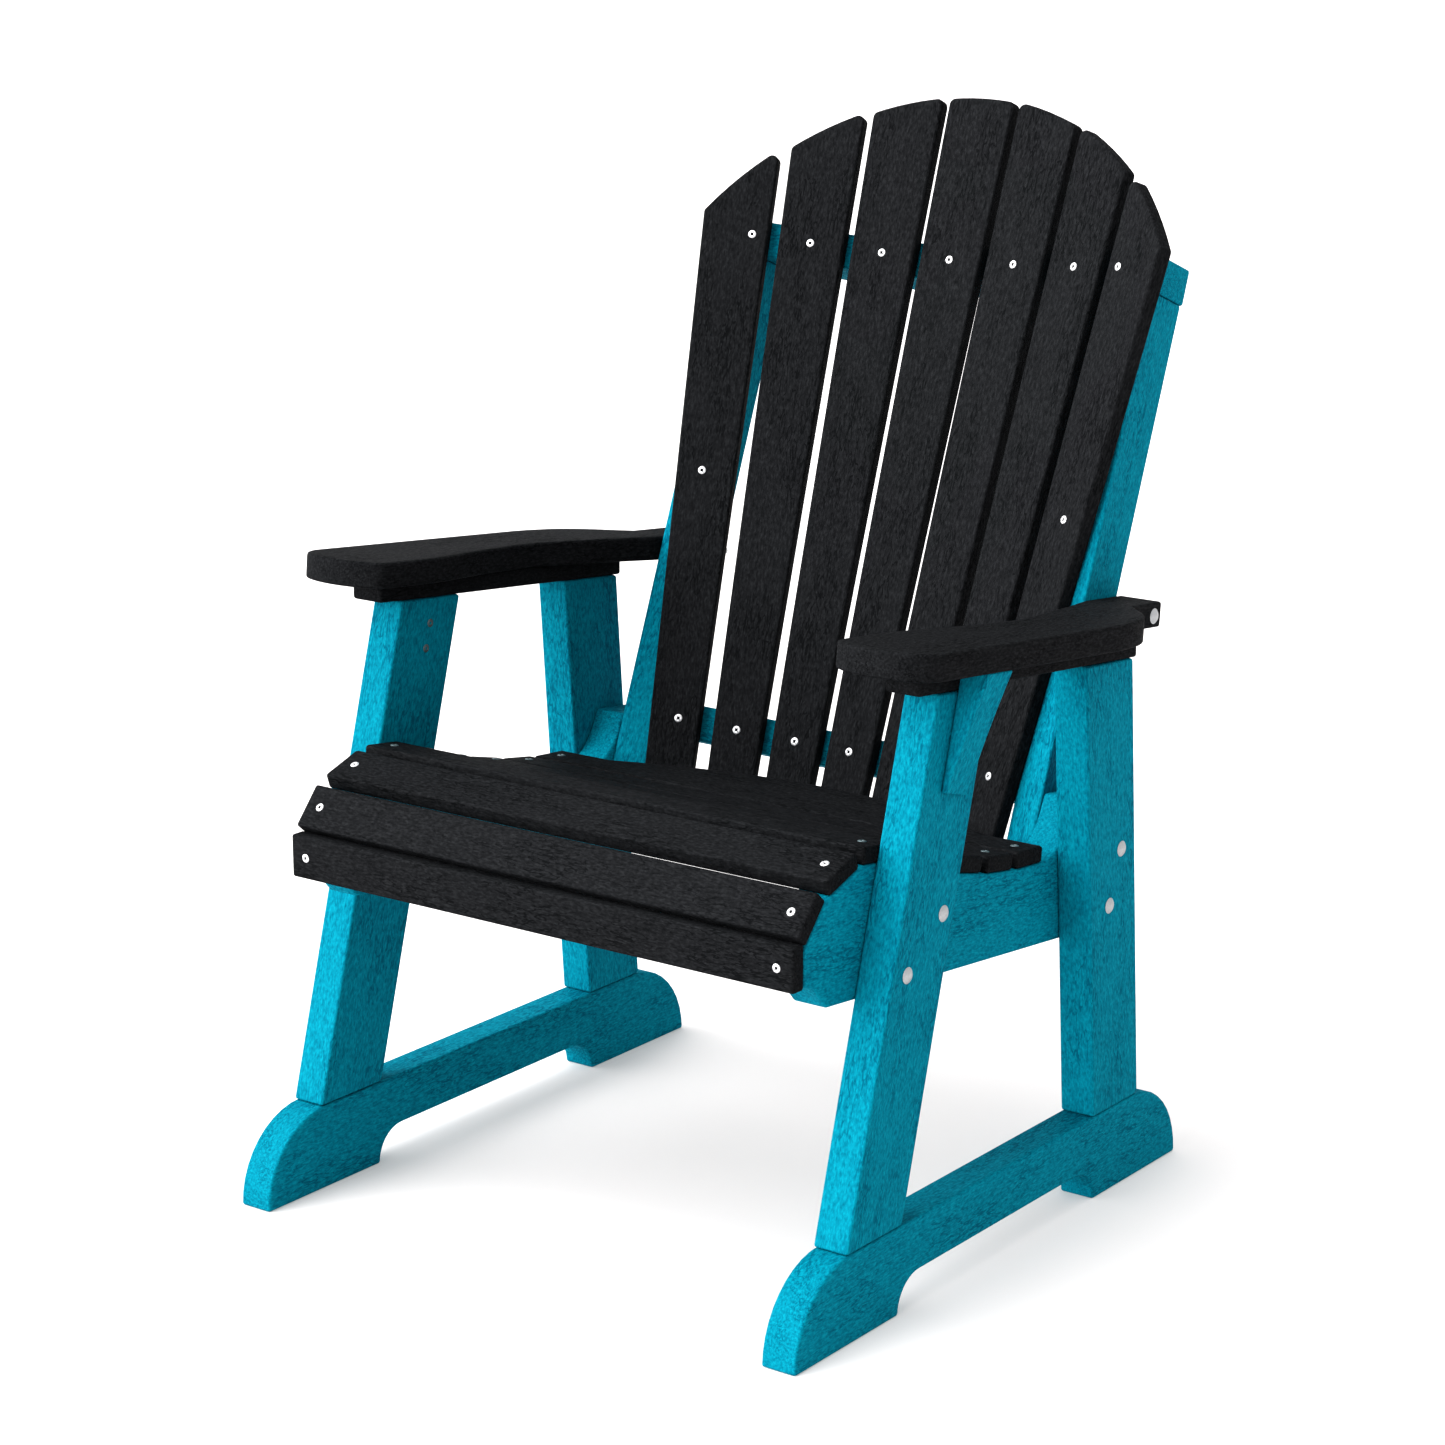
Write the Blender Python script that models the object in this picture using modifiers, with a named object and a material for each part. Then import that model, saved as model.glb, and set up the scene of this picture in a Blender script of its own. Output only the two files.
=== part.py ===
"""Upright Adirondack armchair in two-tone plastic lumber, as separate boards and bolts.

The frame stands on the floor at Z = 0, +Z up, and the sitter faces -Y. Left and right are those of
somebody looking at the chair's front, so right is +X. Lengths below are in inches, as lumber is
sized, and the meshes are in metres.
"""

import math

import bmesh
import bpy
from mathutils import Matrix, Vector

INCH = 0.0254
GAP = 0.012                      # clearance between boards that touch
ORIGIN_Y = 3.175                 # middle of the chair's depth, measured from the feet's middle
CHAIR = "adirondack_chair"

# Rounded edges
EDGE_RADIUS = 0.11
EDGE_SEGMENTS = 2
EDGE_ANGLE = math.radians(40)
ARC_STEP = math.radians(9)

# Side frames: each lies between these distances from the chair's middle plane
UPRIGHT_INSIDE = 9.0
RAIL_INSIDE = 10.5
LEG_INSIDE = 12.0
LEG_OUTSIDE = 13.5

# Feet
FOOT_HEIGHT = 3.5
FOOT_HALF_LENGTH = 13.6
ARCH_HEIGHT = 1.37
ARCH_HALF_LENGTH = 6.98

# Legs: (front edge at the foot's top, slope of that edge in Y per Z, depth along Y)
FRONT_LEG = (-10.41, 0.2815, 3.63)
REAR_LEG = (6.865, -0.0748, 3.516)
LEG_TOP = ((-4.9, 23.25), -0.0985)        # (Y, Z) of a point and the slope of the line over both legs

# Arms: the plane of their tops, and what lies under them
ARM_TOP = ((-7.2, 25.36), -0.1036)
ARM_THICKNESS = 1.03
SUPPORT_FRONT = -6.13
SUPPORT_REAR = 9.27
BRACKET_CORNER = (-4.70, 19.57)           # (Y, Z) of its lower front corner
BRACKET_WIDTH = 1.5
BRACKET_LENGTH = 5.4

# Seat: (Y, Z) of the middle of each board's upper face, its rise in degrees, and its width
BOARD_THICKNESS = 0.66
SEAT_APRON = ((-11.68, 14.34), 90.0, 1.74)
SEAT_BOARDS = (
    ((-10.80, 16.20), 48.9, 1.86),
    ((-8.73, 17.475), 18.2, 1.95),
    ((-6.37, 17.74), -7.4, 1.84),
    ((-4.29, 17.15), -18.3, 1.84),
    ((-2.21, 16.42), -18.3, 1.84),
    ((-0.13, 15.80), -14.0, 1.84),
    ((2.01, 15.32), -9.4, 1.84),
    ((4.15, 15.03), -5.1, 1.84),
)
REAR_BOARD_BULGE = 2.67                   # how far the last board reaches back at its middle
REAR_BOARD_BOW = 0.0305                   # and how fast that falls off, per inch squared
REAR_BOARD_STEPS = 12
RAIL_BOTTOM = ((-9.6, 12.40), -0.0997)
RAIL_FRONT = ((-10.44, 13.36), (-11.005, 13.54))
RAIL_HORN = ((5.4, 14.25), (6.0, 14.45), (6.45, 14.75), (6.8, 15.1), (7.05, 15.45), (7.47, 16.28),
             (9.44, 16.08))
RAIL_REAR_FOOT_Y = 9.86

# Back: cross rails square to the recline, and seven slats fanned over them
RECLINE = math.atan(0.372)
BOTTOM_RAIL = (9.21, 15.89)               # (Y, Z) where the middle slat's face crosses each rail
TOP_RAIL = (16.28, 35.59)
RAIL_HALF_THICKNESS = 0.75
BOTTOM_BOW = 0.0262                       # how far the slats' faces come forward, per inch squared
TOP_BOW = 0.0206
BOTTOM_SPREAD = 2.64                      # slat spacing at each rail
TOP_SPREAD = 3.247
TOP_RAIL_HALF_LENGTH = 10.5
TOP_RAIL_DEPTH = 2.97
BOTTOM_RAIL_DEPTH = 2.5
RAIL_CLEARANCE = 0.03
SLATS = 7
SLAT_FOOT = -2.4                          # slat's lower end, from the bottom rail's middle
SLAT_HALF_WIDTH = 1.09
SLAT_FLARE = 0.0178
SLAT_TURN = 0.93                          # share of the rails' bow that the slats turn by
CROWN_RADIUS = 13.45
CROWN_CENTRE = 14.4
CROWN_CORNER = 0.28
CROWN_STEPS = 6

UPRIGHT_FRONT = ((10.26, 23.54), 0.395)   # (Y, Z) of a point on its front edge, and Y per Z
UPRIGHT_DEPTH = 2.5
UPRIGHT_FOOT_RISE = 0.15                  # above the seat rail's lower edge

# Bolts
BOLT_RADIUS = 0.125
HEAD_RADIUS = 0.32
HEAD_HEIGHT = 0.13
HEAD_RINGS = 4
BOLT_STEPS = 16
NUT_RADIUS = 0.25
NUT_HEIGHT = 0.22
BOLT_TIP = 0.12
HOLE_CLEARANCE = 0.014
FRONT_BOLTS = ((-4.37, 14.91), (-6.70, 13.16))
REAR_BOLTS = ((8.47, 14.28), (7.66, 12.14))
ARM_BOLT = (12.35, 22.79)
TAIL_OUTSIDE = 12.45

# Finishes: (colour, roughness, metallic)
BLUE_LUMBER = ((0.005, 0.37, 0.48), 0.55, 0.0)
BLACK_LUMBER = ((0.014, 0.015, 0.017), 0.5, 0.0)
ZINC_STEEL = ((0.72, 0.72, 0.73), 0.32, 1.0)

SIDES = {"left": -1, "right": 1}


# ---------------------------------------------------------------- lines and outlines, in inches

def line_height(line, y):
    """Z of a line given as ((Y, Z), slope) at this Y."""
    (y0, z0), slope = line
    return z0 + slope * (y - y0)


def meet(first, second):
    """Where two lines of a plane cross, each given as (point, direction)."""
    (p, d), (q, e) = first, second
    turn = d[0] * e[1] - d[1] * e[0]
    along = ((q[0] - p[0]) * e[1] - (q[1] - p[1]) * e[0]) / turn
    return (p[0] + along * d[0], p[1] + along * d[1])


def arc(centre, radius, start, end):
    """Points of a circle from one angle to another, in radians, both ends included."""
    steps = max(2, round(abs(end - start) / ARC_STEP))
    angles = [start + (end - start) * i / steps for i in range(steps + 1)]
    return [(centre[0] + radius * math.cos(a), centre[1] + radius * math.sin(a)) for a in angles]


def rounded(points, radius, corners):
    """The outline with a round at each of these corners."""
    result = []
    for i, corner in enumerate(points):
        if i not in corners:
            result.append(corner)
            continue
        here = Vector(corner)
        back = (Vector(points[i - 1]) - here).normalized()
        ahead = (Vector(points[(i + 1) % len(points)]) - here).normalized()
        half = back.angle(ahead) / 2
        centre = here + (back + ahead).normalized() * radius / math.sin(half)
        first = here + back * radius / math.tan(half) - centre
        last = here + ahead * radius / math.tan(half) - centre
        start = math.atan2(first.y, first.x)
        turn = math.remainder(math.atan2(last.y, last.x) - start, math.tau)
        result += arc(centre, radius, start, start + turn)
    return result


def smooth(points, steps):
    """A curve through the points, from the second to the last but one."""
    result = []
    for i in range(1, len(points) - 2):
        a, b, c, d = (Vector(p) for p in points[i - 1:i + 3])
        for step in range(steps):
            t = step / steps
            bend = 2 * b + (c - a) * t + (2 * a - 5 * b + 4 * c - d) * t * t
            result.append(tuple((bend + (3 * b - a - 3 * c + d) * t ** 3) / 2))
    result.append(tuple(points[-2]))
    return result


# ---------------------------------------------------------------- placing and making solids

def placed(origin, x_axis, y_axis):
    """A local frame from its origin in inches and two of its axes, as a matrix in metres."""
    x = Vector(x_axis).normalized()
    y = Vector(y_axis).normalized()
    z = x.cross(y)
    matrix = Matrix((x, y, z)).transposed().to_4x4()
    matrix.translation = (Vector(origin) - Vector((0, ORIGIN_Y, 0))) * INCH
    return matrix


def side_plane(middle_x):
    """A frame whose x and y are the chair's Y and Z, at this distance from its middle plane."""
    return placed((middle_x, 0, 0), (0, 1, 0), (0, 0, 1))


def finish_material(name, finish):
    colour, roughness, metallic = finish
    material = bpy.data.materials.new(name)
    material.use_nodes = True
    shader = material.node_tree.nodes["Principled BSDF"]
    shader.inputs["Base Color"].default_value = (*colour, 1.0)
    shader.inputs["Roughness"].default_value = roughness
    shader.inputs["Metallic"].default_value = metallic
    material.diffuse_color = (*colour, 1.0)
    return material


def add_part(name, mesh, matrix, finish):
    part = bpy.data.objects.new(name, mesh)
    PARTS.objects.link(part)
    part.parent = ROOT
    part.matrix_world = matrix
    mesh.materials.append(finish_material(name, finish))
    return part


def outline_mesh(name, outline, thickness):
    """A closed mesh of a flat outline, in inches, with this thickness about its plane."""
    curve = bpy.data.curves.new(name, "CURVE")
    curve.dimensions = "2D"
    curve.fill_mode = "BOTH"
    curve.extrude = thickness / 2 * INCH
    spline = curve.splines.new("POLY")
    spline.points.add(len(outline) - 1)
    for point, (x, y) in zip(spline.points, outline):
        point.co = (x * INCH, y * INCH, 0, 1)
    spline.use_cyclic_u = True
    guide = bpy.data.objects.new(name, curve)
    CUTTERS.objects.link(guide)
    bpy.context.view_layer.update()
    evaluated = guide.evaluated_get(bpy.context.evaluated_depsgraph_get())
    mesh = bpy.data.meshes.new_from_object(evaluated)
    bpy.data.objects.remove(guide)
    bpy.data.curves.remove(curve)
    mesh.name = name
    body = bmesh.new()
    body.from_mesh(mesh)
    bmesh.ops.remove_doubles(body, verts=body.verts, dist=1e-5)
    bmesh.ops.dissolve_limit(
        body, angle_limit=math.radians(0.5), verts=body.verts, edges=body.edges
    )
    bmesh.ops.recalc_face_normals(body, faces=body.faces)
    body.to_mesh(mesh)
    body.free()
    return mesh


def trim(part, point, normal):
    """Cuts off what lies beyond a plane, given by a point in inches and its outward normal."""
    to_local = part.matrix_world.inverted()
    where = to_local @ ((Vector(point) - Vector((0, ORIGIN_Y, 0))) * INCH)
    outward = to_local.to_3x3() @ Vector(normal)
    body = bmesh.new()
    body.from_mesh(part.data)
    geometry = [*body.verts, *body.edges, *body.faces]
    bmesh.ops.bisect_plane(
        body, geom=geometry, dist=1e-6, plane_co=where, plane_no=outward, clear_outer=True
    )
    rim = [edge for edge in body.edges if edge.is_boundary]
    bmesh.ops.holes_fill(body, edges=rim, sides=0)
    bmesh.ops.recalc_face_normals(body, faces=body.faces)
    body.to_mesh(part.data)
    body.free()


def round_edges(part, radius=EDGE_RADIUS):
    bevel = part.modifiers.new("Rounded edges", "BEVEL")
    bevel.width = radius * INCH
    bevel.segments = EDGE_SEGMENTS
    bevel.limit_method = "ANGLE"
    bevel.angle_limit = EDGE_ANGLE
    bevel.use_clamp_overlap = False


def shaped_board(name, outline, thickness, matrix, finish):
    part = add_part(name, outline_mesh(name, outline, thickness), matrix, finish)
    round_edges(part)
    return part


def box_board(name, size, matrix, finish):
    """A plain board of this size in inches, centred on its frame."""
    mesh = bpy.data.meshes.new(name)
    body = bmesh.new()
    bmesh.ops.create_cube(body, size=INCH)
    bmesh.ops.scale(body, vec=size, verts=body.verts)
    body.to_mesh(mesh)
    body.free()
    part = add_part(name, mesh, matrix, finish)
    round_edges(part)
    return part


# ---------------------------------------------------------------- side frames

def make_foot(side, sign):
    """A board on edge with quarter-round ends and an arch that leaves a pad at each end."""
    flat = FOOT_HALF_LENGTH - FOOT_HEIGHT
    arch = ARCH_HALF_LENGTH - ARCH_HEIGHT
    outline = [(-FOOT_HALF_LENGTH, 0)]
    outline += arc((-arch, 0), ARCH_HEIGHT, math.pi, math.pi / 2)
    outline += arc((arch, 0), ARCH_HEIGHT, math.pi / 2, 0)
    outline += arc((flat, 0), FOOT_HEIGHT, 0, math.pi / 2)
    outline += arc((-flat, 0), FOOT_HEIGHT, math.pi / 2, math.pi)[:-1]
    matrix = side_plane(sign * (LEG_INSIDE + LEG_OUTSIDE) / 2)
    shaped_board(side + "_foot", outline, LEG_OUTSIDE - LEG_INSIDE, matrix, BLUE_LUMBER)


def make_leg(name, sign, leg):
    front, slope, depth = leg
    base = FOOT_HEIGHT + GAP
    top_line = (LEG_TOP[0], (1, LEG_TOP[1]))
    front_foot = (front + slope * GAP, base)
    rear_foot = (front_foot[0] + depth, base)
    front_top = meet((front_foot, (slope, 1)), top_line)
    rear_top = meet((rear_foot, (slope, 1)), top_line)
    matrix = side_plane(sign * (LEG_INSIDE + LEG_OUTSIDE) / 2)
    outline = [front_foot, rear_foot, rear_top, front_top]
    return shaped_board(name, outline, LEG_OUTSIDE - LEG_INSIDE, matrix, BLUE_LUMBER)


def underside(board):
    """(front, rear) ends of the line that clears a seat board's lower face by the gap."""
    (y, z), rise, width = board
    along = Vector((math.cos(math.radians(rise)), math.sin(math.radians(rise))))
    across = Vector((-along.y, along.x))
    middle = Vector((y, z)) - across * (BOARD_THICKNESS + GAP)
    return tuple(middle - along * width / 2), tuple(middle + along * width / 2)


def make_seat_rail(side, sign):
    """A deep board, scooped along its top to carry the seat boards, with a horn behind them."""
    rear_foot = (RAIL_REAR_FOOT_Y, line_height(RAIL_BOTTOM, RAIL_REAR_FOOT_Y))
    top = [end for board in SEAT_BOARDS for end in underside(board)]
    behind_apron = (RAIL_FRONT[-1], (0, 1))
    top[0] = meet(behind_apron, (top[0], Vector(top[1]) - Vector(top[0])))
    outline = [RAIL_BOTTOM[0], *RAIL_FRONT, *top, *RAIL_HORN, rear_foot]
    middle = sign * (RAIL_INSIDE + LEG_INSIDE) / 2
    thickness = LEG_INSIDE - RAIL_INSIDE - 2 * GAP
    matrix = side_plane(middle)
    return shaped_board(side + "_seat_rail", outline, thickness, matrix, BLUE_LUMBER)


def make_upright(side, sign):
    """The reclined board inside a seat rail. Its front is planed to lie along the outer slat."""
    (y, z), slope = UPRIGHT_FRONT
    depth = UPRIGHT_DEPTH * math.hypot(1, slope)
    front = ((y, z), (slope, 1))
    rear = ((y + depth, z), (slope, 1))
    foot = ((RAIL_BOTTOM[0][0], RAIL_BOTTOM[0][1] + UPRIGHT_FOOT_RISE), (1, RAIL_BOTTOM[1]))
    under_top_rail = Vector(TOP_RAIL) - (RAIL_HALF_THICKNESS + GAP) * Vector(BACK_UP.yz)
    top = (tuple(under_top_rail), tuple(BACK_REAR.yz))
    outline = [meet(front, foot), meet(rear, foot), meet(rear, top), meet(front, top)]
    matrix = side_plane(sign * (UPRIGHT_INSIDE + RAIL_INSIDE) / 2)
    name = side + "_back_upright"
    mesh = outline_mesh(name, outline, RAIL_INSIDE - UPRIGHT_INSIDE)
    part = add_part(name, mesh, matrix, BLUE_LUMBER)
    slat = slat_frame(sign * (SLATS // 2))
    trim(part, slat["foot"] - slat["face"] * (BOARD_THICKNESS + GAP), slat["face"])
    round_edges(part)
    return part


def make_arm_support(side, sign):
    """The board that lies along the tops of both legs, under the arm."""
    def top(y):
        return line_height(ARM_TOP, y) - ARM_THICKNESS * math.hypot(1, ARM_TOP[1]) - GAP

    def base(y):
        return line_height(LEG_TOP, y) + GAP

    outline = [
        (SUPPORT_FRONT, base(SUPPORT_FRONT)),
        (SUPPORT_REAR, base(SUPPORT_REAR)),
        (SUPPORT_REAR, top(SUPPORT_REAR)),
        (SUPPORT_FRONT, top(SUPPORT_FRONT)),
    ]
    matrix = side_plane(sign * (LEG_INSIDE + LEG_OUTSIDE) / 2)
    name = side + "_arm_support"
    shaped_board(name, outline, LEG_OUTSIDE - LEG_INSIDE, matrix, BLACK_LUMBER)


def make_arm(side, sign):
    """The arm board: round at the front, waisted inside, with a tail along the back upright."""
    front = [(10.72, -5.5), (10.72, -6.9), (10.86, -7.48), (11.6, -7.93), (12.6, -8.13),
             (13.6, -8.03), (14.5, -7.62), (14.93, -6.8), (14.93, -5.5)]
    taper = [(14.93, 3.0), (14.93, 5.5), (14.75, 7.0), (14.4, 8.2), (13.6, 9.45),
             (TAIL_OUTSIDE, 10.7), (TAIL_OUTSIDE, 12.0)]
    tail_inside = RAIL_INSIDE + GAP
    waist = [(tail_inside, 11.5), (tail_inside, 10.3), (10.6, 9.7), (11.0, 8.0), (11.2, 6.6),
             (11.7, 4.0), (11.76, 3.0), (11.68, 2.0), (11.45, -0.3), (10.87, -3.3),
             (10.72, -5.5), (10.72, -6.9)]
    tail_end = 13.0
    outline = [*smooth(front, 3), *smooth(taper, 2), (TAIL_OUTSIDE, tail_end),
               (tail_inside, tail_end), *smooth(waist, 2)[:-1]]
    (y0, z0), slope = ARM_TOP
    stretch = math.hypot(1, slope)
    down_slope = Vector((0, 1, slope)) / stretch
    outward = Vector((sign, 0, 0))
    up = Vector((0, -slope, 1)) / stretch
    matrix = placed(Vector((0, y0, z0)) - up * ARM_THICKNESS / 2, (1, 0, 0), down_slope)
    local = [(outward.x * x, (y - y0) * stretch) for x, y in outline]
    return shaped_board(side + "_arm", local, ARM_THICKNESS, matrix, BLACK_LUMBER)


def make_arm_bracket(side, sign):
    """The flared block on the front leg's outer face, its top under the arm."""
    _, lean, _ = FRONT_LEG
    up_leg = Vector((0, lean, 1)).normalized()
    outward = Vector((sign, 0, 0))
    across = outward.cross(up_leg)
    foot = Vector((sign * (LEG_OUTSIDE + GAP), *BRACKET_CORNER))
    middle = foot + sign * -across * BRACKET_WIDTH / 2
    heights = [BRACKET_LENGTH * i / 5 for i in range(6)]
    flare = [(0.22 + 0.18 * s + 0.0096 * s * s, s) for s in heights]
    outline = [(0, 0), *flare, (0, BRACKET_LENGTH)]
    matrix = placed(middle, outward, up_leg)
    name = side + "_arm_bracket"
    mesh = outline_mesh(name, outline, BRACKET_WIDTH)
    part = add_part(name, mesh, matrix, BLUE_LUMBER)
    (y, z), slope = ARM_TOP
    arm_up = Vector((0, -slope, 1)).normalized()
    trim(part, Vector((0, y, z)) - arm_up * (ARM_THICKNESS + GAP), arm_up)
    round_edges(part, 0.08)


# ---------------------------------------------------------------- seat and back

def make_seat_board(name, board):
    (y, z), rise, width = board
    along = Vector((0, math.cos(math.radians(rise)), math.sin(math.radians(rise))))
    up = Vector((1, 0, 0)).cross(along)
    middle = Vector((0, y, z)) - up * BOARD_THICKNESS / 2
    length = 2 * (LEG_INSIDE - GAP)
    matrix = placed(middle, (1, 0, 0), along)
    box_board(name, (length, width, BOARD_THICKNESS), matrix, BLACK_LUMBER)


def make_rear_seat_board(name, board):
    """The last seat board, whose rear edge bows back between the uprights to close the seat."""
    (y, z), rise, width = board
    along = Vector((0, math.cos(math.radians(rise)), math.sin(math.radians(rise))))
    up = Vector((1, 0, 0)).cross(along)
    length = LEG_INSIDE - GAP
    reach = math.sqrt(REAR_BOARD_BULGE / REAR_BOARD_BOW)
    outline = [(-length, -width / 2), (length, -width / 2), (length, width / 2)]
    for i in range(REAR_BOARD_STEPS + 1):
        x = reach * (1 - 2 * i / REAR_BOARD_STEPS)
        outline.append((x, width / 2 + REAR_BOARD_BULGE - REAR_BOARD_BOW * x * x))
    outline.append((-length, width / 2))
    matrix = placed(Vector((0, y, z)) - up * BOARD_THICKNESS / 2, (1, 0, 0), along)
    shaped_board(name, outline, BOARD_THICKNESS, matrix, BLACK_LUMBER)


def face_point(rail, bow, x):
    """A point on the slats' curved face at this rail, x inches from the middle."""
    return Vector((0, *rail)) + Vector((x, 0, 0)) - bow * x * x * BACK_REAR


def slat_frame(index):
    """A back slat's foot on the bottom rail, its length axis, its width axis and its face."""
    low_x = index * BOTTOM_SPREAD
    high_x = index * TOP_SPREAD
    foot = face_point(BOTTOM_RAIL, BOTTOM_BOW, low_x)
    along = (face_point(TOP_RAIL, TOP_BOW, high_x) - foot).normalized()
    turn = -SLAT_TURN * math.atan(BOTTOM_BOW * low_x + TOP_BOW * high_x)
    wide = math.cos(turn) * Vector((1, 0, 0)) + math.sin(turn) * BACK_REAR
    wide = (wide - wide.dot(along) * along).normalized()
    return {"foot": foot, "along": along, "wide": wide, "face": wide.cross(along)}


def crown_height(slat, across):
    """How far up a slat its arched end lies, at this distance from the slat's own middle."""
    height = CROWN_CENTRE + CROWN_RADIUS
    for _ in range(20):
        x = slat["foot"].x + height * slat["along"].x + across * slat["wide"].x
        height = CROWN_CENTRE + math.sqrt(CROWN_RADIUS ** 2 - x * x)
    return height


def crown_corner(slat, edge):
    """Where a slat's edge meets the arch: edge is -1 for its -X edge and 1 for the other."""
    height = CROWN_CENTRE
    for _ in range(20):
        across = edge * (SLAT_HALF_WIDTH + SLAT_FLARE * height)
        height = crown_height(slat, across)
    return across, height


def make_back_slat(name, index):
    slat = slat_frame(index)
    foot_width = SLAT_HALF_WIDTH + SLAT_FLARE * SLAT_FOOT
    right_corner = crown_corner(slat, 1)
    left_corner = crown_corner(slat, -1)
    outline = [(-foot_width, SLAT_FOOT), (foot_width, SLAT_FOOT), right_corner]
    for i in range(1, CROWN_STEPS):
        across = right_corner[0] + (left_corner[0] - right_corner[0]) * i / CROWN_STEPS
        outline.append((across, crown_height(slat, across)))
    outline.append(left_corner)
    outline = rounded(outline, CROWN_CORNER, (2, 2 + CROWN_STEPS))
    middle = slat["foot"] - slat["face"] * BOARD_THICKNESS / 2
    matrix = placed(middle, slat["wide"], slat["along"])
    shaped_board(name, outline, BOARD_THICKNESS, matrix, BLACK_LUMBER)


def rail_facet(rail, slat, across):
    """(X, depth) where the rail's front clears the back of a slat, at an edge of that slat."""
    origin = Vector((0, *rail))
    back = slat["foot"] - slat["face"] * (BOARD_THICKNESS + RAIL_CLEARANCE)
    reach = (origin - slat["foot"]).dot(BACK_UP) / slat["along"].dot(BACK_UP)
    half_width = SLAT_HALF_WIDTH + SLAT_FLARE * reach
    x = slat["foot"].x + reach * slat["along"].x + across * half_width * slat["wide"].x
    depths = []
    for level in (-RAIL_HALF_THICKNESS, RAIL_HALF_THICKNESS):
        here = origin + Vector((x, 0, 0)) + level * BACK_UP
        depths.append((back - here).dot(slat["face"]) / BACK_REAR.dot(slat["face"]))
    return x, max(depths)


def make_back_rail(name, rail, half_length, depth):
    """A cross rail with a flat behind each slat, and a rear edge that follows its front."""
    front = []
    for index in range(-(SLATS // 2), SLATS // 2 + 1):
        slat = slat_frame(index)
        front += [rail_facet(rail, slat, -1), rail_facet(rail, slat, 1)]
    front[0] = meet((front[0], Vector(front[1]) - Vector(front[0])), ((-half_length, 0), (0, 1)))
    front[-1] = meet((front[-1], Vector(front[-2]) - Vector(front[-1])), ((half_length, 0), (0, 1)))
    bow = (front[SLATS][1] - front[-1][1]) / half_length ** 2
    rear = [half_length * (1 - i / 7) for i in range(15)]
    outline = [*front, *((x, front[SLATS][1] + depth - bow * x * x) for x in rear)]
    matrix = placed((0, *rail), (1, 0, 0), BACK_REAR)
    shaped_board(name, outline, 2 * RAIL_HALF_THICKNESS, matrix, BLUE_LUMBER)


# ---------------------------------------------------------------- bolts

def bolt_frame(sign, outside, y, z):
    """A frame on a side frame's outer face whose z axis points away from the chair."""
    return placed((sign * outside, y, z), (0, sign, 0), (0, 0, 1))


def make_hole_cutter(name, sign, bolt, outside, inside):
    y, z = bolt
    length = (outside - inside + 1) * INCH
    mesh = bpy.data.meshes.new(name)
    body = bmesh.new()
    radius = (BOLT_RADIUS + HOLE_CLEARANCE) * INCH
    bmesh.ops.create_cone(
        body, cap_ends=True, segments=BOLT_STEPS, radius1=radius, radius2=radius, depth=length
    )
    body.to_mesh(mesh)
    body.free()
    cutter = bpy.data.objects.new(name, mesh)
    CUTTERS.objects.link(cutter)
    cutter.matrix_world = bolt_frame(sign, (outside + inside) / 2, y, z)
    cutter.hide_render = True
    cutter.display_type = "WIRE"
    return cutter


def make_bolt(name, sign, bolt, outside, inside, drilled):
    """A domed bolt through these boards, its head outside and its nut inside them."""
    y, z = bolt
    sphere = (HEAD_RADIUS ** 2 + HEAD_HEIGHT ** 2) / (2 * HEAD_HEIGHT)
    widest = math.asin(HEAD_RADIUS / sphere)
    angles = [widest * i / HEAD_RINGS for i in range(HEAD_RINGS + 1)]
    dome = [(sphere * math.sin(a), GAP + HEAD_HEIGHT - sphere * (1 - math.cos(a))) for a in angles]
    end = inside - outside - GAP - NUT_HEIGHT - BOLT_TIP
    profile = [*dome, (BOLT_RADIUS, GAP), (BOLT_RADIUS, end), (0, end)]
    mesh = bpy.data.meshes.new(name)
    points = [(r * INCH, 0, h * INCH) for r, h in profile]
    mesh.from_pydata(points, [(i, i + 1) for i in range(len(points) - 1)], [])
    matrix = bolt_frame(sign, outside, y, z)
    part = add_part(name, mesh, matrix, ZINC_STEEL)
    turned = part.modifiers.new("Turned", "SCREW")
    turned.steps = BOLT_STEPS
    turned.render_steps = BOLT_STEPS
    turned.use_merge_vertices = True
    turned.merge_threshold = 1e-6
    turned.use_smooth_shade = False
    nut_mesh = bpy.data.meshes.new(name + "_nut")
    body = bmesh.new()
    bmesh.ops.create_cone(
        body, cap_ends=True, segments=6, radius1=NUT_RADIUS * INCH, radius2=NUT_RADIUS * INCH,
        depth=NUT_HEIGHT * INCH
    )
    body.to_mesh(nut_mesh)
    body.free()
    nut = bpy.data.objects.new(name + "_nut", nut_mesh)
    CUTTERS.objects.link(nut)
    nut.matrix_world = bolt_frame(sign, inside - GAP - NUT_HEIGHT / 2, y, z)
    nut.hide_render = True
    nut.display_type = "WIRE"
    joined = part.modifiers.new("Nut", "BOOLEAN")
    joined.operation = "UNION"
    joined.object = nut
    cutter = make_hole_cutter(name + "_hole", sign, bolt, outside, inside)
    for board in drilled:
        hole = board.modifiers.new("Bolt hole", "BOOLEAN")
        hole.operation = "DIFFERENCE"
        hole.object = cutter


# ---------------------------------------------------------------- the chair

for old in list(bpy.data.objects):
    bpy.data.objects.remove(old)

PARTS = bpy.data.collections.new(CHAIR)
CUTTERS = bpy.data.collections.new("cutters")
for collection in (PARTS, CUTTERS):
    bpy.context.scene.collection.children.link(collection)
CUTTERS.hide_render = True

ROOT = bpy.data.objects.new(CHAIR, None)
PARTS.objects.link(ROOT)

BACK_REAR = Vector((0, math.cos(RECLINE), -math.sin(RECLINE)))
BACK_UP = Vector((0, math.sin(RECLINE), math.cos(RECLINE)))

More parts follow.
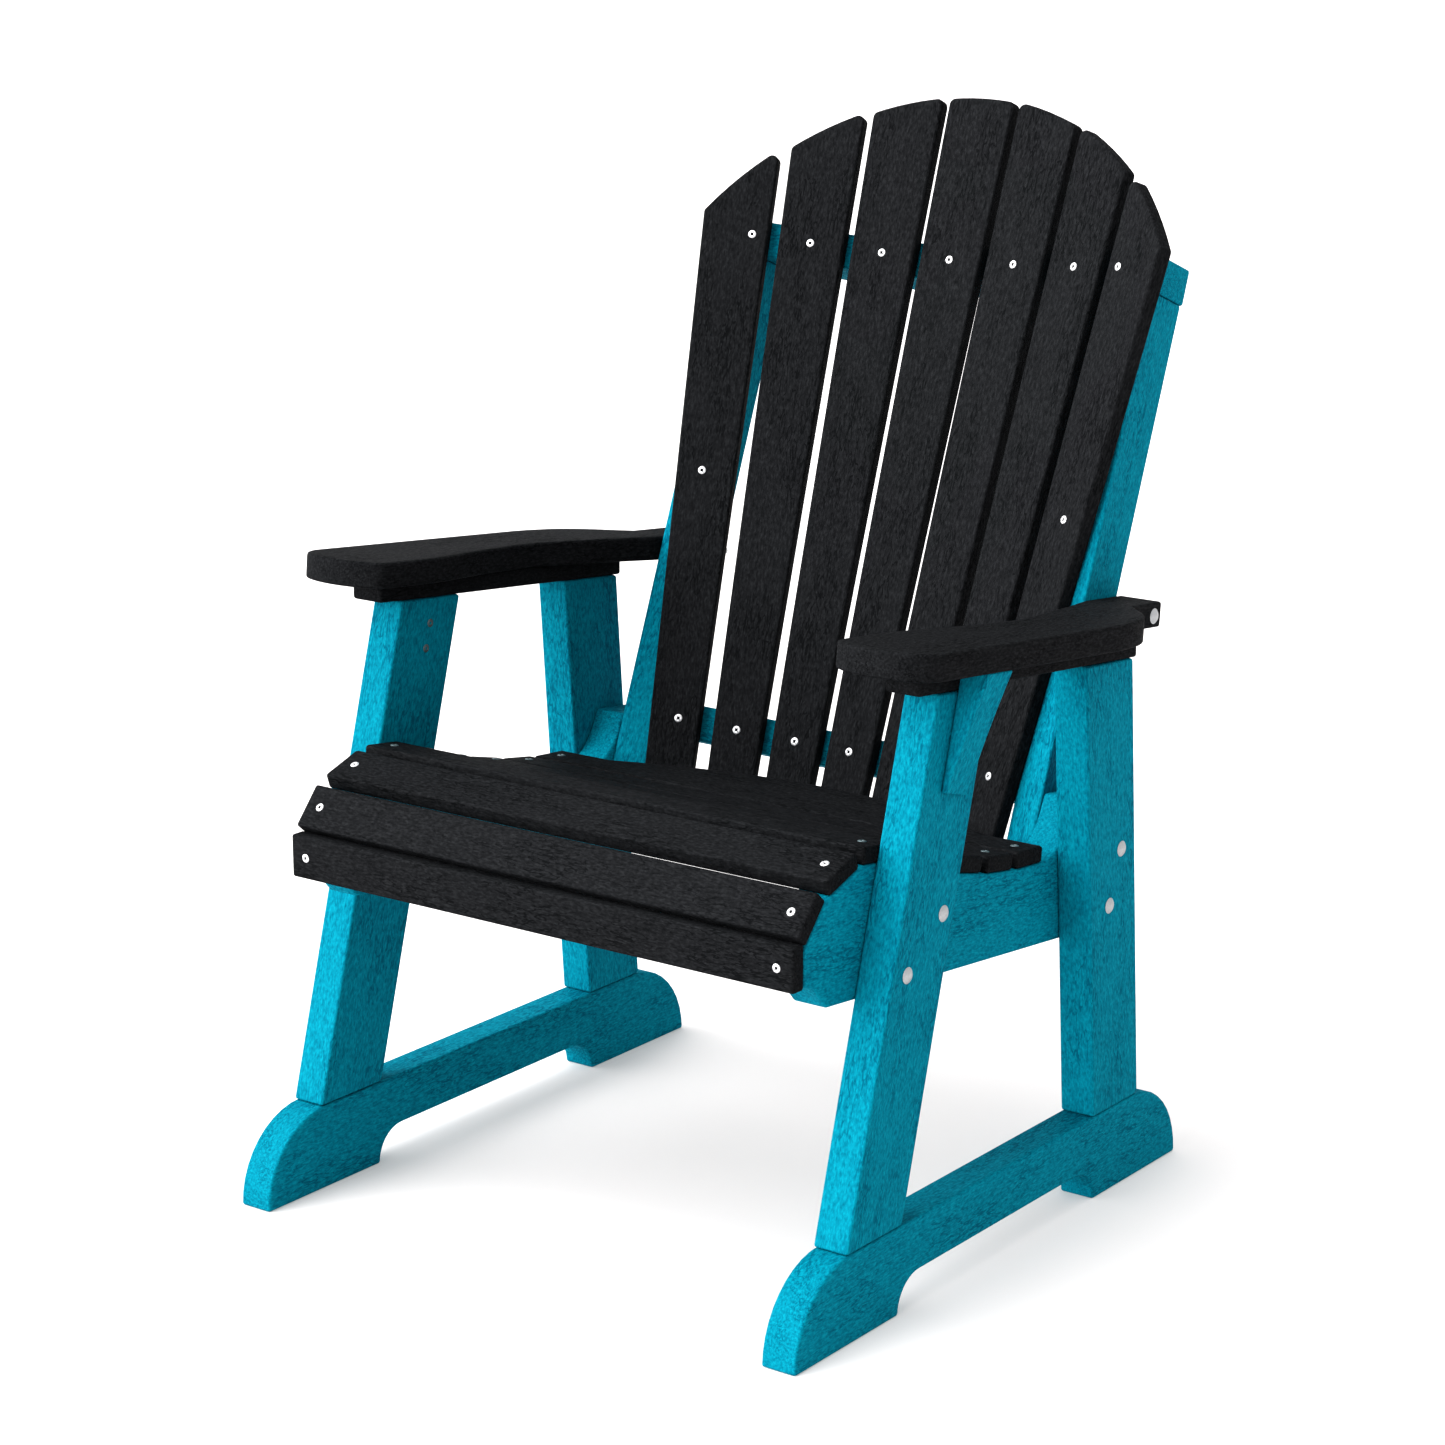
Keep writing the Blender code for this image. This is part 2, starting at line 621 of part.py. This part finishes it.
for SIDE, SIGN in SIDES.items():
    make_foot(SIDE, SIGN)
    front_leg = make_leg(SIDE + "_front_leg", SIGN, FRONT_LEG)
    rear_leg = make_leg(SIDE + "_rear_leg", SIGN, REAR_LEG)
    seat_rail = make_seat_rail(SIDE, SIGN)
    upright = make_upright(SIDE, SIGN)
    arm = make_arm(SIDE, SIGN)
    make_arm_support(SIDE, SIGN)
    make_arm_bracket(SIDE, SIGN)
    for number, place in enumerate(FRONT_BOLTS, 1):
        make_bolt(f"{SIDE}_front_bolt_{number}", SIGN, place, LEG_OUTSIDE, RAIL_INSIDE + GAP,
                  (front_leg, seat_rail))
    for number, place in enumerate(REAR_BOLTS, 1):
        make_bolt(f"{SIDE}_rear_bolt_{number}", SIGN, place, LEG_OUTSIDE, UPRIGHT_INSIDE,
                  (rear_leg, seat_rail, upright))
    make_bolt(f"{SIDE}_arm_bolt", SIGN, ARM_BOLT, TAIL_OUTSIDE, UPRIGHT_INSIDE, (arm, upright))

make_seat_board("seat_apron", SEAT_APRON)
for number, board in enumerate(SEAT_BOARDS[:-1], 1):
    make_seat_board(f"seat_slat_{number}", board)
make_rear_seat_board(f"seat_slat_{len(SEAT_BOARDS)}", SEAT_BOARDS[-1])

for number in range(SLATS):
    make_back_slat(f"back_slat_{number + 1}", number - SLATS // 2)
make_back_rail("back_top_rail", TOP_RAIL, TOP_RAIL_HALF_LENGTH, TOP_RAIL_DEPTH)
make_back_rail("back_bottom_rail", BOTTOM_RAIL, UPRIGHT_INSIDE - GAP, BOTTOM_RAIL_DEPTH)
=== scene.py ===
"""The armchair in its studio: grained lumber, zinc bolts and screws, a floor, lights and a camera."""

import math
import random

import bmesh
import bpy
import numpy as np
from mathutils import Euler, Matrix, Vector


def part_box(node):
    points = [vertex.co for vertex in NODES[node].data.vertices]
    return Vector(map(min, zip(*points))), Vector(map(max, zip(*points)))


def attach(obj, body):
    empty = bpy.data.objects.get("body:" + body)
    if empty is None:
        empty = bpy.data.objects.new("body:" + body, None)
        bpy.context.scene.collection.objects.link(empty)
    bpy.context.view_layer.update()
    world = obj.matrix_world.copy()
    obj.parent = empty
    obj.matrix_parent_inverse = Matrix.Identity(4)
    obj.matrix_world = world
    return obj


INCH = 0.0254
SIDES = {"left": -1, "right": 1}
BODY = "root"
SLATS = 7
SEAT_SLATS = 8
# seat boards whose screws keep the plain zinc; screws on the other seat boards get painted shade
FRONT_BOARDS = ("seat_apron", "seat_slat_1", "seat_slat_2")

# Lumber: colours from the grain's hollows to its crests, and the roughness of crests and hollows
BLUE = {
    "ramp": (
        (0.345, (0.0004, 0.095, 0.146)),
        (0.5, (0.0007, 0.165, 0.232)),
        (0.64, (0.0015, 0.227, 0.298)),
    ),
    "roughness": (0.6, 0.8),
}
BLACK = {
    "ramp": (
        (0.33, (0.0045, 0.005, 0.0055)),
        (0.5, (0.0095, 0.01, 0.011)),
        (0.67, (0.018, 0.019, 0.0205)),
    ),
    "roughness": (0.6, 0.8),
}
LUMBER_SPECULAR = 0.02
GRAIN_SHIFT = 3.0                         # metres by which boards' patterns lie apart
WARP_SCALE = (18, 45, 45)                 # pattern repeats per metre: along, across, through
WARP_REACH = 0.0035
STREAK_SCALE = (130, 560, 560)
MOTTLE_SCALE = (220, 400, 400)
VEIN_SCALE = (36, 170, 170)
VEIN_PATCH_SCALE = (9, 28, 28)
VEIN_HALF_WIDTH = 0.03
VEIN_PATCH_RANGE = (0.45, 0.62)           # of the patch noise, over which the veins fade in
STREAK_SHARE = 0.5
MOTTLE_SHARE = 0.5
VEIN_SHARE = 0.4
GRAIN_BUMP = 0.8
GRAIN_BUMP_DEPTH = 0.0006
GRAIN_RANGE = (0.3, 0.7)                  # of the grain's height, over which roughness falls
EDGE_REACH = 0.0025                       # metres from an edge over which the painted highlight lightens the colour
EDGE_TURN = (0.97, 0.8)                   # cosines at which the painted highlight begins and is full
PAINTED_EDGE_HIGHLIGHT = 1.18
EDGE_SAMPLES = 4

# Zinc: pattern repeats per metre, and how it varies
CLOUD_SCALE = (400, 400, 400)
SCRATCH_SCALE = (4000, 700, 900)
ZINC_DARKENING = 0.82
ZINC_ROUGHNESS_SPREAD = (-0.08, 0.1)
ZINC_RANGE = (0.3, 0.7)                   # of both noises
ZINC_BUMP = 0.15
ZINC_BUMP_DEPTH = 0.0001
ZINC_METALLIC = 0.6

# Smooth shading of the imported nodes
WELD_REACH = 1e-5
SHARP_ANGLE = 62                          # degrees
NORMAL_WEIGHT = 80

# Screws
SCREW_RADIUS = 0.175 * INCH
SCREW_HEIGHT = 0.05 * INCH
SOCKET_RADIUS = 0.065 * INCH
SOCKET_DEPTH = 0.05 * INCH
SCREW_STEPS = 24
SCREW_SINK = 0.01 * INCH
SCREW_PROFILE = ((0.96, 0), (1, 0.25), (0.93, 0.6), (0.75, 0.85), (0.5, 0.98))  # radius, height
SOCKET_PROFILE = ((1.12, 1), (1, 0.93))   # socket radius, height
SOCKET_FLOOR_RADIUS = 0.92                # of the socket's
TOP_SCREW_INSET = 0.85 * INCH             # inwards from the middles of the outer slats
BOTTOM_SCREW_INSET = 0.19 * INCH
MIDDLE_SCREW_INSET = -0.14 * INCH
MIDDLE_SCREW_SHARE = 0.505                # of the way from the bottom rail to the top one
BRACKET_SCREW_SHARES = (0.395, 0.605)     # of the way up each bracket

# Camera and lights
CAMERA_PLACE = (2.05456, -2.85699, 1.38971)
CAMERA_TILT = 75.32
CAMERA_TURN = 36.41
CAMERA_LENS = 89.14
CAMERA_SENSOR = 36
FLOOR_SIZE = 120
FLOOR_COLOUR = (0.595, 0.577, 0.573)
FLOOR_GLOW = 0.2                          # the floor is a light table, lit a little from below
FLOOR_ROUGHNESS = 0.9
WORLD_STRENGTH = 0.96
LOOK = "Medium High Contrast"
KEY_STRENGTH = 7.8                        # a wide soft light, low at the front left
KEY_ANGLE = 90                            # degrees
KEY_FROM = (-0.6, -0.78, 0.18)
TOP_STRENGTH = 1.6                        # and one overhead
TOP_ANGLE = 50
TOP_FROM = (-0.3, -0.1, 1)


# ---------------------------------------------------------------- shader nodes

def add_node(tree, kind, inputs=None, **settings):
    """A shader node whose inputs are set to numbers or joined to other nodes' outputs."""
    node = tree.nodes.new("ShaderNode" + kind)
    for name, value in settings.items():
        setattr(node, name, value)
    for name, value in (inputs or {}).items():
        if isinstance(value, bpy.types.NodeSocket):
            tree.links.new(value, node.inputs[name])
        else:
            node.inputs[name].default_value = value
    return node


def scaled(tree, vector, scale):
    return add_node(tree, "VectorMath", {0: vector, 1: scale}, operation="MULTIPLY").outputs[0]


def calculate(tree, operation, first, second):
    return add_node(tree, "Math", {0: first, 1: second}, operation=operation).outputs[0]


def noise(tree, vector, scale, detail, roughness=0.55):
    inputs = {"Vector": scaled(tree, vector, scale), "Scale": 1.0, "Detail": detail,
              "Roughness": roughness}
    return add_node(tree, "TexNoise", inputs)


def map_range(tree, value, old_low, old_high, new_low, new_high):
    inputs = {"Value": value, "From Min": old_low, "From Max": old_high, "To Min": new_low,
              "To Max": new_high}
    return add_node(tree, "MapRange", inputs).outputs[0]


def ramp(tree, value, stops):
    node = add_node(tree, "ValToRGB", {"Fac": value})
    elements = node.color_ramp.elements
    while len(elements) < len(stops):
        elements.new(0.5)
    for element, (place, colour) in zip(elements, stops):
        element.position = place
        element.color = (*colour, 1.0)
    return node.outputs["Color"]


# ---------------------------------------------------------------- boards

def board_axes(node):
    """A board's middle and its long, wide and thin directions, from its surface's second moments."""
    corners = np.array([[node.data.vertices[i].co for i in face.vertices]
                        for face in node.data.polygons])
    areas = np.array([face.area for face in node.data.polygons])
    middle = areas @ corners.mean(axis=1) / areas.sum()
    corners -= middle
    points = np.concatenate([corners, corners.sum(axis=1, keepdims=True)], axis=1)
    moments = np.einsum("f,fpi,fpj->ij", areas / 12, points, points)
    _, directions = np.linalg.eigh(moments)
    long, wide, thin = (Vector(directions[:, i]) for i in (2, 1, 0))
    for axis in (long, wide, thin):
        if max(axis, key=abs) < 0:
            axis.negate()
    return Vector(middle), long, wide, thin


def lumber_material(name, finish, axes, seed):
    """Moulded plastic lumber: streaks, mottling and thin dark veins that run along the board."""
    _, long, wide, _ = axes
    turn = Matrix((long, wide, long.cross(wide)))
    place = random.Random(seed)
    shift = [place.uniform(0, GRAIN_SHIFT) for _ in range(3)]
    material = bpy.data.materials.new(name)
    material.use_nodes = True
    tree = material.node_tree
    shader = tree.nodes["Principled BSDF"]

    where = add_node(tree, "TexCoord").outputs["Object"]
    along = add_node(
        tree, "Mapping", {"Vector": where, "Location": shift, "Rotation": turn.to_euler("XYZ")}
    ).outputs[0]
    bend = noise(tree, along, WARP_SCALE, 2).outputs["Color"]
    bend = add_node(tree, "VectorMath", {0: bend, 1: (0.5, 0.5, 0.5)}, operation="SUBTRACT").outputs[0]
    bend = scaled(tree, bend, (0, WARP_REACH, WARP_REACH))
    warped = add_node(tree, "VectorMath", {0: along, 1: bend}, operation="ADD").outputs[0]

    streak = noise(tree, warped, STREAK_SCALE, 4, 0.62).outputs["Fac"]
    mottle = noise(tree, warped, MOTTLE_SCALE, 3).outputs["Fac"]
    vein = noise(tree, warped, VEIN_SCALE, 2).outputs["Fac"]
    off_vein = calculate(tree, "SUBTRACT", vein, 0.5)
    off_vein = add_node(tree, "Math", {0: off_vein}, operation="ABSOLUTE").outputs[0]
    line = map_range(tree, off_vein, 0.0, VEIN_HALF_WIDTH, 1.0, 0.0)
    patch = noise(tree, along, VEIN_PATCH_SCALE, 1).outputs["Fac"]
    line = calculate(tree, "MULTIPLY", line, map_range(tree, patch, *VEIN_PATCH_RANGE, 0.0, 1.0))

    streak = calculate(tree, "MULTIPLY", streak, STREAK_SHARE)
    mottle = calculate(tree, "MULTIPLY", mottle, MOTTLE_SHARE)
    height = calculate(tree, "ADD", streak, mottle)
    height = calculate(tree, "SUBTRACT", height, calculate(tree, "MULTIPLY", line, VEIN_SHARE))
    bump = add_node(
        tree, "Bump", {"Strength": GRAIN_BUMP, "Distance": GRAIN_BUMP_DEPTH, "Height": height}
    ).outputs[0]

    colour = ramp(tree, height, finish["ramp"])
    # Painted highlight: the colour is lightened on the rounded edges, where light catches them
    rounded = add_node(tree, "Bevel", {"Radius": EDGE_REACH}, samples=EDGE_SAMPLES).outputs[0]
    flat = add_node(tree, "NewGeometry").outputs["Normal"]
    facing = add_node(tree, "VectorMath", {0: rounded, 1: flat}, operation="DOT_PRODUCT").outputs[1]
    painted_edge_highlight = map_range(tree, facing, *EDGE_TURN, 1.0, PAINTED_EDGE_HIGHLIGHT)
    colour = add_node(tree, "VectorMath", {0: colour, "Scale": painted_edge_highlight}, operation="SCALE")

    low, high = finish["roughness"]
    rough = map_range(tree, height, *GRAIN_RANGE, high, low)
    tree.links.new(colour.outputs[0], shader.inputs["Base Color"])
    tree.links.new(rough, shader.inputs["Roughness"])
    tree.links.new(bump, shader.inputs["Normal"])
    shader.inputs["Specular IOR Level"].default_value = LUMBER_SPECULAR
    return material


def zinc_material(name, colour, roughness):
    """Dull plated steel, with a faint mottling and fine scratches."""
    material = bpy.data.materials.new(name)
    material.use_nodes = True
    tree = material.node_tree
    shader = tree.nodes["Principled BSDF"]
    where = add_node(tree, "TexCoord").outputs["Object"]
    cloud = noise(tree, where, CLOUD_SCALE, 3).outputs["Fac"]
    scratch = noise(tree, where, SCRATCH_SCALE, 2).outputs["Fac"]
    low, high = ZINC_RANGE
    darker = tuple(ZINC_DARKENING * c for c in colour)
    tree.links.new(ramp(tree, cloud, ((low, darker), (high, colour))), shader.inputs["Base Color"])
    smoothest, roughest = (roughness + spread for spread in ZINC_ROUGHNESS_SPREAD)
    rough = map_range(tree, scratch, low, high, smoothest, roughest)
    tree.links.new(rough, shader.inputs["Roughness"])
    bump = add_node(
        tree, "Bump", {"Strength": ZINC_BUMP, "Distance": ZINC_BUMP_DEPTH, "Height": scratch}
    )
    tree.links.new(bump.outputs[0], shader.inputs["Normal"])
    shader.inputs["Metallic"].default_value = ZINC_METALLIC
    return material


def soften(node):
    """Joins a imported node's loose triangles and shades them smooth, except across sharp edges."""
    node.data.shade_smooth()
    weld = node.modifiers.new("Weld", "WELD")
    weld.merge_threshold = WELD_REACH
    split = node.modifiers.new("Sharp edges", "EDGE_SPLIT")
    split.split_angle = math.radians(SHARP_ANGLE)
    split.use_edge_sharp = False
    weighted = node.modifiers.new("Weighted normals", "WEIGHTED_NORMAL")
    weighted.weight = NORMAL_WEIGHT


def dress(node, material):
    node.data.materials.clear()
    node.data.materials.append(material)


# ---------------------------------------------------------------- screws

def screw_mesh(material):
    """A low domed head with a square socket, its underside at Z = 0."""
    mesh = bpy.data.meshes.new("screw")
    body = bmesh.new()
    angles = [math.tau * i / SCREW_STEPS for i in range(SCREW_STEPS)]

    def ring(radius, height, square=False):
        points = []
        for a in angles:
            side = max(abs(math.cos(a)), abs(math.sin(a))) if square else 1
            r = radius / side
            points.append(body.verts.new((r * math.cos(a), r * math.sin(a), height)))
        return points

    rings = [ring(SCREW_RADIUS * r, SCREW_HEIGHT * h) for r, h in SCREW_PROFILE]
    rings += [ring(SOCKET_RADIUS * r, SCREW_HEIGHT * h, True) for r, h in SOCKET_PROFILE]
    rings.append(ring(SOCKET_RADIUS * SOCKET_FLOOR_RADIUS, SCREW_HEIGHT - SOCKET_DEPTH, True))
    for low, high in zip(rings, rings[1:]):
        for i in range(SCREW_STEPS):
            j = (i + 1) % SCREW_STEPS
            body.faces.new((low[i], low[j], high[j], high[i]))
    body.faces.new(rings[-1])
    body.faces.new(rings[0][::-1])
    for face in body.faces:
        face.smooth = len(face.verts) == 4
    body.to_mesh(mesh)
    body.free()
    mesh.materials.append(material)
    return mesh


def add_screw(name, mesh, node, point):
    """A screw head on a node's surface at the place nearest this point."""
    _, place, normal, _ = node.closest_point_on_mesh(point)
    screw = bpy.data.objects.new(name, mesh)
    bpy.context.scene.collection.objects.link(screw)
    screw.rotation_euler = normal.to_track_quat("Z", "Y").to_euler()
    screw.location = place - normal * SCREW_SINK
    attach(screw, BODY)
    return screw


def crossing(point, direction, plane_point, normal):
    """Where a line meets a plane."""
    return point + direction * ((plane_point - point).dot(normal) / direction.dot(normal))


def middle_of(points):
    """The middle of the box round some points."""
    return (Vector(map(min, *points)) + Vector(map(max, *points))) / 2


def slice_middle(node, height):
    """The middle of a board's cross-section at a height."""
    points = []
    for face in node.data.polygons:
        corners = [node.data.vertices[i].co for i in face.vertices]
        for start, end in zip(corners, corners[1:] + corners[:1]):
            if (start.z - height) * (end.z - height) < 0:
                points.append(start.lerp(end, (height - start.z) / (end.z - start.z)))
    return middle_of(points)


def add_back_screws(mesh, nodes):
    """A screw from each slat into both rails, and one from each outer slat into its upright."""
    rails = {}
    for rail in ("top", "bottom"):
        middle, _, _, thin = board_axes(nodes[f"back_{rail}_rail"])
        rails[rail] = (middle, thin)
    for number in range(1, SLATS + 1):
        slat = nodes[f"back_slat_{number}"]
        middle, long, _, thin = board_axes(slat)
        inward = {1: 1, SLATS: -1}.get(number, 0)
        top = crossing(middle, long, *rails["top"]).z
        bottom = crossing(middle, long, *rails["bottom"]).z
        between = bottom + MIDDLE_SCREW_SHARE * (top - bottom)
        rows = {"top": (top, TOP_SCREW_INSET), "bottom": (bottom, BOTTOM_SCREW_INSET)}
        if inward:
            rows["middle"] = (between, MIDDLE_SCREW_INSET)
        for row, (height, inset) in rows.items():
            point = slice_middle(slat, height) - thin * INCH
            point.x += inward * inset
            add_screw(f"back_screw_{row}_{number}", mesh, slat, point)


def add_seat_screws(mesh, painted_shade_mesh, nodes):
    """Two screws in each seat board, over the middles of the seat rails, with painted shade on those
    behind the front boards.
    """
    for name in ("seat_apron", *(f"seat_slat_{i}" for i in range(1, SEAT_SLATS + 1))):
        board = nodes[name]
        # screws behind the front boards are darkened: painted shade
        used = mesh if name in FRONT_BOARDS else painted_shade_mesh
        _, _, _, thin = board_axes(board)
        up = thin if thin.z - thin.y > 0 else -thin
        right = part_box(name)[1].x
        end = middle_of([v.co for v in board.data.vertices if v.co.x > right - INCH])
        for side in SIDES:
            x = middle_of(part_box(side + "_seat_rail")).x
            add_screw(f"{name}_{side}_screw", used, board, Vector((x, end.y, end.z)) + up * INCH)


def add_bracket_screws(mesh, nodes):
    """Two screws through each front leg into the bracket on its outer face."""
    for side, sign in SIDES.items():
        leg = nodes[side + "_front_leg"]
        _, along, _, _ = board_axes(leg)
        inner = min(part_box(side + "_front_leg"), key=lambda corner: abs(corner.x)).x
        middle = board_axes(nodes[side + "_arm_bracket"])[0]
        low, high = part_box(side + "_arm_bracket")
        for number, share in enumerate(BRACKET_SCREW_SHARES, 1):
            z = low.z + share * (high.z - low.z)
            point = middle + along * ((z - middle.z) / along.z)
            point.x = inner - sign * INCH
            add_screw(f"{side}_bracket_screw_{number}", mesh, leg, point)


# ---------------------------------------------------------------- studio

def add_floor():
    mesh = bpy.data.meshes.new("floor")
    half = FLOOR_SIZE / 2
    corners = [(-half, -half, 0), (half, -half, 0), (half, half, 0), (-half, half, 0)]
    mesh.from_pydata(corners, [], [(0, 1, 2, 3)])
    floor = bpy.data.objects.new("floor", mesh)
    bpy.context.scene.collection.objects.link(floor)
    material = bpy.data.materials.new("floor")
    material.use_nodes = True
    shader = material.node_tree.nodes["Principled BSDF"]
    shader.inputs["Base Color"].default_value = (*FLOOR_COLOUR, 1)
    shader.inputs["Roughness"].default_value = FLOOR_ROUGHNESS
    shader.inputs["Specular IOR Level"].default_value = 0
    shader.inputs["Emission Color"].default_value = (1, 1, 1, 1)
    shader.inputs["Emission Strength"].default_value = FLOOR_GLOW
    mesh.materials.append(material)


def add_world():
    world = bpy.data.worlds.new("studio")
    world.use_nodes = True
    background = world.node_tree.nodes["Background"]
    background.inputs["Color"].default_value = (1, 1, 1, 1)
    background.inputs["Strength"].default_value = WORLD_STRENGTH
    bpy.context.scene.world = world


def add_sun(name, strength, angle, source):
    light = bpy.data.lights.new(name, "SUN")
    light.energy = strength
    light.angle = math.radians(angle)
    sun = bpy.data.objects.new(name, light)
    sun.rotation_euler = Vector(source).to_track_quat("Z", "Y").to_euler()
    bpy.context.scene.collection.objects.link(sun)


def add_camera():
    lens = bpy.data.cameras.new("camera")
    lens.lens = CAMERA_LENS
    lens.sensor_width = CAMERA_SENSOR
    camera = bpy.data.objects.new("camera", lens)
    camera.location = CAMERA_PLACE
    camera.rotation_euler = Euler((math.radians(CAMERA_TILT), 0, math.radians(CAMERA_TURN)))
    bpy.context.scene.collection.objects.link(camera)
    bpy.context.scene.camera = camera


# ---------------------------------------------------------------- the scene

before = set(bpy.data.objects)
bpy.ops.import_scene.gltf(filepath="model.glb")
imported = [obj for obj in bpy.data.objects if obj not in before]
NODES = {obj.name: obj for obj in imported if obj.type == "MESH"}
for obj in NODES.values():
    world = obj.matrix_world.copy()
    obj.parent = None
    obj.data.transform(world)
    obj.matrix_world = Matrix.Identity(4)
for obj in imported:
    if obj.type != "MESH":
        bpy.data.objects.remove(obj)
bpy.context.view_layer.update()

bolt_zinc = zinc_material("bolt_zinc", (0.42, 0.43, 0.44), 0.45)
screw_zinc = zinc_material("screw_zinc", (0.7, 0.7, 0.71), 0.4)
for seed, (name, node) in enumerate(sorted(NODES.items())):
    slot = node.data.materials[0].name
    if slot.startswith("zinc"):
        dress(node, bolt_zinc)
    else:
        finish = BLUE if slot.startswith("blue") else BLACK
        dress(node, lumber_material("lumber_" + name, finish, board_axes(node), seed))
    soften(node)

# Dark bluish-grey zinc: painted shade for the screws on the seat behind the front boards and on the
# front legs' inner faces
painted_shade_zinc = zinc_material("painted_shade_zinc", (0.11, 0.15, 0.16), 0.5)
screw = screw_mesh(screw_zinc)
painted_shade_screw = screw_mesh(painted_shade_zinc)
add_back_screws(screw, NODES)
add_seat_screws(screw, painted_shade_screw, NODES)
# the bracket screws on the front legs' inner faces get the painted shade too
add_bracket_screws(painted_shade_screw, NODES)

add_floor()
add_world()
add_sun("key", KEY_STRENGTH, KEY_ANGLE, KEY_FROM)
add_sun("top", TOP_STRENGTH, TOP_ANGLE, TOP_FROM)
add_camera()
bpy.context.scene.view_settings.view_transform = "Standard"
bpy.context.scene.view_settings.look = LOOK
